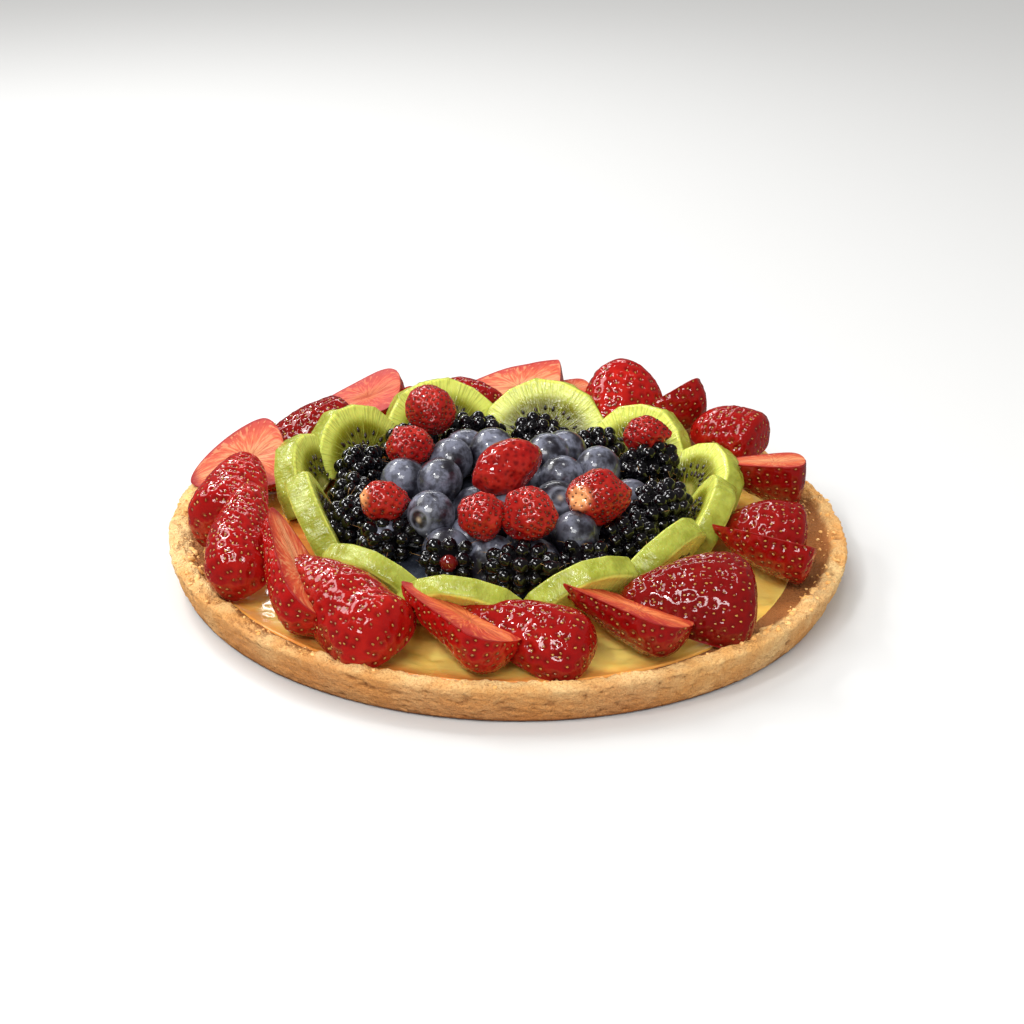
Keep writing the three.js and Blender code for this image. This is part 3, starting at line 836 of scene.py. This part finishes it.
def makeKiwi(number, spot, material):
    draw = np.random.default_rng(300 + number)
    piece = addBall(f"kiwiSlice_{number}", kiwi)
    radius, half = spot["diameter"] / 2, spot["thickness"] / 2
    shape, side, folded, around, x = kiwiShape(piece, radius, half, number)
    far = np.hypot(shape[:, 0], shape[:, 1]) / radius

    # soft flesh: fibres that run outwards, a dip along the core, a rounded peeled side
    z = shape[:, 2].copy()
    fibres = 0.5 * lumps(stack(around * 26, far * 3, z), 1.0, number) * np.clip(far * 2 - 0.4, 0, 1)
    dip = 0.25 * lumps(shape, 7, number + 20) - 0.7 * bump(far, 0, 0.2) - 0.25 * bump(far, 0.46, 0.12)
    shape[:, 2] += side * ramp(folded, 0.4, -0.03) * (0.13 * fibres + dip)
    rough = layered(shape, (0.55, 5, number + 40), (0.35, 2.2, number + 41))
    peel = ramp(folded, 0.41, 0.05) * ramp(x, 0, 2)
    shape[:, :2] *= (1 + peel * (0.2 * (1 - (z / half) ** 2) + rough) / radius)[:, None]
    shape[:, 1] += 0.5 * np.sin(shape[:, 0] / 9 + number)
    placed, turn, move = settle(piece, shape, spot)
    keepValues(piece, "slicePlace", shape / np.array([radius, radius, half]))
    finishPiece(piece, material, f"kiwi_{number}", kiwi["sharpAngle"])
    for way in (1, -1):
        for k in range(int(kiwi["seedArc"] / kiwi["seedStep"])):
            bearing = kiwi["seedStep"] * (k + 0.5) - kiwi["seedArc"] / 2 + 2.2 * draw.normal()
            ring = kiwi["seedRing"][k % 2] + 0.03 * draw.normal()
            local = np.array([math.cos(math.radians(bearing)), math.sin(math.radians(bearing)), 0])
            up = np.array([0, 0, way])
            size = np.array(kiwi["seedSize"]) * (0.85 + 0.35 * draw.random())
            seedSpot = turn @ (local * ring * radius + up * (half - 0.1)) + move
            kiwiSeedPlaces.append(facing(seedSpot, turn @ local, turn @ up, size))
            kiwiSeedTones.append(draw.random())


def kiwiMaterial():
    material, tree, shader = newMaterial("kiwiFlesh", specular=0.5, glow=0.12, glowScale=0.004)
    parts = placeParts(tree, "slicePlace")
    squares = calc("ADD", times(parts[0], parts[0]), times(parts[1], parts[1]))
    far = calc("SQRT", squares)
    angle = calc("ARCTAN2", parts[1], parts[0])
    rays = streaks(tree, times(angle, 13.0), times(far, 1.3), parts[2], 2.0)
    face = cover(band(far, 0.5, 0.86), kiwi["inner"], kiwi["outer"])
    face = cover(band(far, 0.64, 0.84), face, kiwi["band"])
    face = cover(band(rays, 0.5, 0.62), face, kiwi["rim"], 0.6)
    face = cover(band(calc("ADD", far, times(rays, 0.12)), 0.2, 0.32), kiwi["core"], face)
    # the face on the underside is painted in the band colour as painted light that lifts its shade
    face = cover(band(parts[2], -0.7, -0.9), face, kiwi["band"], 0.9)
    sides = mottled(tree, 140, 0.45, 0.2, kiwi["rim"], kiwi["rimDeep"])["Color"]
    sides = cover(band(parts[0], 0.03, 0.0), sides, kiwi["outer"], 0.8)
    onFace = times(band(calc("ABSOLUTE", parts[2]), 0.8, 0.97), band(far, 1.0, 0.93))
    height = calc("ADD", rays, noise(tree, 500, 3))
    connect(shader, cover(onFace, sides, face), noiseBetween(tree, 120, 0.08, 0.36), height, 0.0007, 0.5)
    return material


kiwiFlesh = kiwiMaterial()
for number, spot in enumerate(kiwis, 1):
    makeKiwi(number, spot, kiwiFlesh)
makeSeeds("kiwiSeeds", kiwiSeedPlaces, kiwiSeedTones, kiwi)
print("kiwi slices made")

# brambles: one skin over many drupelets, with a few dry hairs
brambles = readTable("bearing reach rise turn length width", [
    (128, 61, 20, 20, 22, 18),
    (104, 60, 21, 10, 25, 18),
    (79, 58, 22, -10, 21, 18),
    (56, 59, 21, 20, 21, 17),
    (27, 58, 24, 30, 25, 19),
    (-10, 54, 24, 40, 25, 20),
    (-34, 50, 20, 20, 23, 18),
    (-58.8, 51.5, 19, 10, 20, 16),
    (-84.3, 53, 20, -5, 28, 19),
    (-112.6, 49.8, 19, 0, 21, 16),
    (-141, 51, 20, 20, 24, 17),
    (-163, 57, 20, 60, 22, 17),
    (177, 55, 20, 90, 20, 17),
    (155, 60, 21, 60, 24, 18),
])

bramble = {
    "subdivisions": 6, "drupelet": 2.6, "spacing": 4.9, "crease": 0.8,
    "hairLength": 3.4, "hairWidth": 0.09, "hairShare": 0.5, "hairPale": rgb(196, 150, 84), "hairDeep": rgb(120, 70, 30),
    "black": rgb(3, 2, 4), "violet": rgb(12, 6, 10), "red": rgb(96, 14, 12),
    # the berry that has one unripe drupelet, and where it is
    "unripe": 10, "unripeSpot": (1.5, -5.5, 5.5),
}
hairPlaces = []


# middles and radii of the drupelets, in rows from one end of the berry to the other
def drupelets(long, wide, draw):
    centres, radii = [], []
    rows = max(int(math.pi * (long + wide) / 2 / (bramble["spacing"] * 0.87) + 0.5), 4)
    for row in range(rows):
        slope = math.pi * (row + 0.5) / rows
        ring = wide * math.sin(slope)
        count = max(int(2 * math.pi * ring / bramble["spacing"] + 0.5), 1)
        for k in range(count):
            angle = 2 * math.pi * (k + 0.5 * (row % 2) + 0.12 * draw.normal()) / count
            push = 1 + 0.06 * draw.normal()
            spot = np.array([-long * math.cos(slope), ring * math.cos(angle), ring * math.sin(angle)])
            centres.append(spot * push)
            radii.append(bramble["drupelet"] * (0.92 + 0.22 * draw.random()))
    return np.array(centres), np.array(radii)


def makeBramble(number, spot, material):
    draw = np.random.default_rng(500 + number)
    piece, ways = addEvenBall(f"brambleBerry_{number}", bramble["subdivisions"])
    long, wide = (spot[key] / 2 - bramble["drupelet"] * 0.85 for key in ("length", "width"))
    centres, radii = drupelets(long, wide, draw)

    # the skin is the farthest drupelet that each direction meets, over a smaller solid body
    toward = ways @ centres.T
    inside = toward ** 2 - (centres ** 2).sum(1) + radii ** 2
    hit = np.where((inside > 0) & (toward > 0), toward + np.sqrt(np.maximum(inside, 0)), 0)
    owner, farthest = hit.argmax(1), hit.max(1)
    body = 1 / np.linalg.norm(ways / (np.array([long, wide, wide]) * 0.9), axis=1)
    crease = bump(farthest - np.sort(hit, 1)[:, -2], 0, bramble["crease"])
    placed, turn, move = settle(piece, ways * np.maximum(farthest, body)[:, None], spot)
    keepValues(piece, "crease", np.where(farthest < body + 0.1, 1, crease))
    keepValues(piece, "tone", draw.random(len(centres))[owner])
    red = np.zeros(len(centres))
    if number == bramble["unripe"]:
        red[np.linalg.norm(centres - np.array(bramble["unripeSpot"]), axis=1).argmin()] = 1
    keepValues(piece, "redness", red[owner])
    finishPiece(piece, material, f"bramble_{number}")
    width = bramble["hairWidth"]
    for centre, radius in zip(centres, radii):
        if draw.random() < bramble["hairShare"] and centre[2] > -wide * 0.3:
            out = centre / np.linalg.norm(centre)
            lean = turn @ (out + 0.7 * draw.normal(size=3))
            root = turn @ (centre + out * radius * 0.96) + move
            length = bramble["hairLength"] * (0.5 + 0.7 * draw.random())
            hairPlaces.append(facing(root, lean, draw.normal(size=3), (length, width, width)))


def brambleMaterial():
    material, tree, shader = newMaterial("brambleSkin", coatRoughness=0.05, specular=0.12)
    colour = cover(calc("POWER", attribute(tree, "tone"), 3.0), bramble["black"], bramble["violet"])
    colour = cover(attribute(tree, "redness"), colour, bramble["red"])
    crease = attribute(tree, "crease")
    tree.links.new(calc("SUBTRACT", 1.0, crease), shader.inputs["Coat Weight"])
    rough = calc("MAXIMUM", noiseBetween(tree, 260, 0.08, 0.22), crease)
    connect(shader, colour, rough, noise(tree, 600, 2), 0.0003, 0.3)
    return material


brambleSkin = brambleMaterial()
for number, spot in enumerate(brambles, 1):
    makeBramble(number, spot, brambleSkin)


def makeHairs():
    settings = {"vertices": 5, "radius1": 1, "radius2": 0.1, "depth": 1}
    template = addPrimitive("cone", "hairShape", rotation=(0, math.pi / 2, 0), location=(0.5, 0, 0), **settings)
    tones = np.random.default_rng(9).random(len(hairPlaces))
    piece = joinCopies("brambleHairs", template, hairPlaces, tones)
    material, tree, shader = newMaterial("dryHair", roughness=0.6)
    connect(shader, cover(attribute(tree, "tone"), bramble["hairDeep"], bramble["hairPale"]))
    finishPiece(piece, material)


makeHairs()
print("brambles made")

# wild strawberries: small bumpy fruit with raised seeds
wildBerries = readTable("bearing reach rise turn pitch length width", [
    (121, 58, 34, -80, 0, 18, 18),
    (158, 38, 35, 0, 0, 18, 15),
    (-148, 49, 32, 0, 0, 17, 13),
    (-101, 42, 35, 60, 0, 18, 16),
    (-89.7, 13.8, 41, 34, 18, 27, 18.5),
    (-79.7, 43.2, 36, -40, 0, 20, 18),
    (-41, 41, 36, 10, 0, 21, 18),
    (33, 60, 34, 0, 0, 17, 14),
])

wild = {
    "subdivisions": 6, "seedGap": 2.4, "dimple": 0.26, "dimpleSize": 0.6, "puff": 0.22, "seedSize": (0.42, 0.27, 0.32),
    # deep is the painted shade in the seed dimples
    "skin": rgb(138, 14, 13), "bright": rgb(168, 40, 30), "deep": rgb(84, 5, 7), "pale": rgb(232, 160, 104),
    "seedPale": rgb(112, 52, 22), "seedDeep": rgb(44, 10, 10),
    # the berries with a pale patch, by number, with its direction and size
    "patches": {3: ((-1, -0.3, 0.3), 0.42), 7: ((-0.75, -0.75, 0.3), 0.38)},
    # the smooth one without seeds, and how much of the dimples it has
    "smooth": 5, "smoothDimples": 0.3,
}
wildSeedPlaces, wildSeedTones = [], []


# directions spread evenly over a ball, a little shaken
def evenDirections(count, start, draw):
    steps = np.arange(count) + 0.5
    height = 1 - 2 * steps / count
    angle = steps * math.pi * (3 - math.sqrt(5)) + start
    spread = np.sqrt(1 - height ** 2)
    ways = stack(height, spread * np.cos(angle), spread * np.sin(angle)) + 0.04 * draw.normal(size=(count, 3))
    return ways / np.linalg.norm(ways, axis=1)[:, None]


def makeWildBerry(number, spot, material):
    draw = np.random.default_rng(700 + number)
    piece, ways = addEvenBall(f"wildBerry_{number}", wild["subdivisions"])
    long, wide = spot["length"] / 2, spot["width"] / 2
    taper = 1 - 0.14 * ways[:, 0] - 0.06 * ways[:, 0] ** 2
    uneven = 1 + layered(ways, (0.12, 0.8, number), (0.07, 0.35, number + 9))
    shape = ways * stack(long * uneven, wide * taper * uneven, wide * taper * uneven)
    setPoints(piece, shape)
    normals = getNormals(piece)
    count = int(4 * math.pi * ((long + 2 * wide) / 3) ** 2 / (wild["seedGap"] ** 2 * 0.87))
    nearest = (ways @ evenDirections(count, number, draw).T).argmax(0)
    apart = np.linalg.norm(shape[:, None] - shape[nearest][None], axis=2)
    dimple = np.exp(-((apart / wild["dimpleSize"]) ** 2)).sum(1)
    puff = ramp(apart.min(1), 0, 1.4) ** 1.5
    soft = wild["smoothDimples"] if number == wild["smooth"] else 1
    relief = soft * (wild["puff"] * puff - wild["dimple"] * np.minimum(dimple, 1))
    placed, turn, move = settle(piece, shape + normals * relief[:, None], spot)
    for k in nearest if number != wild["smooth"] else ():
        out = turn @ normals[k]
        size = np.array(wild["seedSize"]) * (0.85 + 0.3 * draw.random())
        wildSeedPlaces.append(facing(placed[k] + out * 0.18, turn[:, 0], out, size))
        wildSeedTones.append(draw.random())
    pale = np.zeros(len(ways))
    if number in wild["patches"]:
        aim, size = wild["patches"][number]
        away = 1 - (ways @ turn.T) @ np.array(aim) / np.linalg.norm(aim)
        pale = bump(away, 0, 0.6 * size ** 2)
    keepValues(piece, "pale", pale)
    keepValues(piece, "dimple", np.clip(dimple, 0, 1))
    finishPiece(piece, material, f"wild_strawberry_{number}")


def wildMaterial():
    material, tree, shader = newMaterial("wildBerrySkin", specular=0.45)
    skin = mottled(tree, 160, 0.52, 0.2, wild["bright"], wild["skin"])["Color"]
    # painted shade in the seed dimples
    skin = cover(attribute(tree, "dimple"), skin, wild["deep"], 0.8)
    skin = cover(attribute(tree, "pale"), skin, wild["pale"])
    connect(shader, skin, noiseBetween(tree, 300, 0.04, 0.1), noise(tree, 480, 1.5), 0.0006, 0.6)
    return material


wildSkin = wildMaterial()
for number, spot in enumerate(wildBerries, 1):
    makeWildBerry(number, spot, wildSkin)
makeSeeds("wildBerrySeeds", wildSeedPlaces, wildSeedTones, wild)
print("wild strawberries made")

# blueberries: separate berries over a dark core
blueberry = {
    "radius": 8.5, "segments": 52, "rings": 36, "flatness": 0.9, "ringHeight": 0.045, "craterDepth": 0.05,
    "bloom": rgb(116, 119, 136), "skin": rgb(24, 21, 30), "crown": rgb(168, 172, 188), "scar": rgb(206, 180, 150),
    "seen": [
        (-37, 0, 28), (-24, -6, 31), (-26, -29, 29), (-21, 14, 30), (-16, 27, 28), (-6, 21, 31),
        (14, 20, 30), (20, 28, 28), (32, 10, 30), (19, 5, 28), (17, -12, 26), (23, -36, 26),
        (-20, -40, 20), (-5, -44.5, 20), (43, -5, 24), (0, -20, 26), (0, 4, 28),
    ],
    "under": [
        (-33, 13, 22), (-11, -10, 22), (8, -32, 20), (32, -20, 20), (-38, -16, 21), (4, 34, 21),
        (34, 26, 22), (-12, -31, 21), (8, 12, 21), (-32, 30, 20), (-42, -30, 19), (10, -45, 19),
    ],
    # the berries whose crown shows, with its direction
    "crowns": {2: (-0.5, -0.8, 0.1), 10: (0.15, -0.7, 0.65)},
}


def makeBlueberries():
    draw = np.random.default_rng(21)
    template = addBall("blueberryShape", blueberry)
    down, angle = ballPlaces(template)
    slope = 180 * down
    ring = bump(slope, 27, 3.2) * (0.8 + 0.2 * np.cos(5 * angle))
    crater = np.exp(-((slope / 23) ** 6))
    shape = getPoints(template) * (1 + blueberry["ringHeight"] * ring - blueberry["craterDepth"] * crater)[:, None]
    shape[:, 2] *= blueberry["flatness"]
    setPoints(template, shape)
    places = []
    for k, spot in enumerate(blueberry["seen"] + blueberry["under"]):
        anyWay = draw.normal(size=3) * np.array([1, 1, 0.6]) + np.array([0, 0.9, -0.2])
        crown = np.array(blueberry["crowns"].get(k, anyWay))
        size = blueberry["radius"] * (0.97 + 0.08 * draw.random())
        places.append(facing(spot, draw.normal(size=3), crown, (size, size, size * 1.04)))
    piece = joinCopies("blueberries", template, places, draw.random(len(places)))
    keepValues(piece, "ring", np.tile(ring, len(places)))
    keepValues(piece, "scar", np.tile(bump(slope, 0, 6), len(places)))
    material, tree, shader = newMaterial("blueberrySkin", coat=0.7, coatRoughness=0.1, specular=0.4)
    bloom = mottled(tree, 110, 0.5, 0.12, blueberry["bloom"], blueberry["skin"])
    colour = cover(mottled(tree, 420, 0.55, 0.08)["Value"], bloom["Color"], blueberry["skin"], 0.6)
    colour = cover(attribute(tree, "tone"), colour, blueberry["skin"], 0.4)
    colour = cover(attribute(tree, "ring"), colour, blueberry["crown"], 0.7)
    colour = cover(attribute(tree, "scar"), colour, blueberry["scar"], 0.8)
    settings = {"Value": bloom["Value"], "To Min": 0.32, "To Max": 0.62}
    rough = addNode(tree, "ShaderNodeMapRange", settings).outputs["Result"]
    connect(shader, colour, rough, noise(tree, 700, 3), 0.0003, 0.3)
    finishPiece(piece, material, "blueberry_heap")


makeBlueberries()

# the core of the heap is also the dark glaze that runs out round it; its pale slate blotches are painted reflection
pool = {
    "segments": 200, "rings": 60, "lumps": [(0.8, 12, 1), (0.4, 5, 2)], "pale": rgb(70, 76, 88), "deep": rgb(20, 22, 30),
    "path": [
        (0, 0, 22), (0.2, 24, 21), (0.38, 40, 16.5), (0.5, 50, 14), (0.62, 60, 13), (0.74, 66, 12),
        (0.82, 68, 11), (0.9, 66, 10.2), (1, 0, 10.2),
    ],
}


def makePool():
    piece = addBall("berryGlaze", pool)
    along, angle = ballPlaces(piece)
    r, z = followPath(pool["path"], along)
    flat = onCircle(r, angle, z * 0)
    z = z + ramp(along, 0.8, -0.1) * layered(flat, *pool["lumps"])
    setPoints(piece, stack(flat[:, 0], flat[:, 1], z) * mm)
    material, tree, shader = newMaterial("darkGlaze", coat=1.0, coatRoughness=0.02, specular=0.7)
    # pale slate blotches as painted reflection over the dark glaze
    colour = mottled(tree, 70, 0.5, 0.2, pool["pale"], pool["deep"])["Color"]
    connect(shader, colour, noiseBetween(tree, 100, 0.05, 0.14), noise(tree, 220, 2), 0.0006, 0.3)
    finishPiece(piece, material, "blueberry_heap")


makePool()
print("blueberries made")

studio = {
    "floor": (0.585, 0.585, 0.58, 1), "floorSize": 8, "floorRoughness": 0.9,
    "world": (1.0, 0.99, 0.97, 1), "fill": 0.6, "reflected": 0.15,
    "sun": {"strength": 1.0, "angle": 24, "from": (-0.4, 0.5, 1.0)},
    # place, size, power and whether shiny things mirror it
    "softboxes": [
        ((-0.56, 0.22, 0.54), (0.4, 0.3), 2.3, True),
        ((-0.22, -0.7, 0.68), (0.42, 0.24), 4.2, True),
        ((0.6, -0.45, 0.4), (0.5, 0.4), 1.6, False),
        ((-0.42, 0.5, 0.55), (0.12, 0.08), 2.0, True),
        ((-0.1, 0.8, 0.46), (0.45, 0.06), 0.9, True),
        ((-0.35, -0.4, 0.7), (0.1, 0.1), 1.8, True),
        ((0.12, 0.1, 0.85), (0.16, 0.12), 0.8, True),
    ],
}


def addLamp(kind, spot, strength, mirrored):
    bpy.ops.object.light_add(type=kind, location=spot)
    lamp = bpy.context.object
    lamp.rotation_euler = Vector(spot).to_track_quat("Z", "Y").to_euler()
    lamp.data.energy = strength
    lamp.visible_glossy = mirrored
    return lamp.data


def makeStudio():
    bpy.ops.object.select_all(action="DESELECT")
    bpy.ops.mesh.primitive_plane_add(size=studio["floorSize"])
    floor = bpy.context.object
    floor.name = "paleFloor"
    material, tree, shader = newMaterial("paleFloor", roughness=studio["floorRoughness"])
    shader.inputs["Base Color"].default_value = studio["floor"]
    floor.data.materials.append(material)
    floor.visible_glossy = False
    world = bpy.data.worlds.new("studio")
    world.use_nodes = True
    tree = world.node_tree
    backdrop = tree.nodes["Background"].inputs
    backdrop["Color"].default_value = studio["world"]
    mirrored = addNode(tree, "ShaderNodeLightPath").outputs["Is Glossy Ray"]
    drop = times(mirrored, studio["fill"] - studio["reflected"])
    tree.links.new(calc("SUBTRACT", studio["fill"], drop), backdrop["Strength"])
    bpy.context.scene.world = world
    sun = addLamp("SUN", studio["sun"]["from"], studio["sun"]["strength"], False)
    sun.angle = math.radians(studio["sun"]["angle"])
    for spot, size, power, isMirrored in studio["softboxes"]:
        lamp = addLamp("AREA", spot, power, isMirrored)
        lamp.shape = "RECTANGLE"
        lamp.size, lamp.size_y = size
    bpy.context.scene.view_settings.view_transform = "Standard"


makeStudio()
print("studio made")
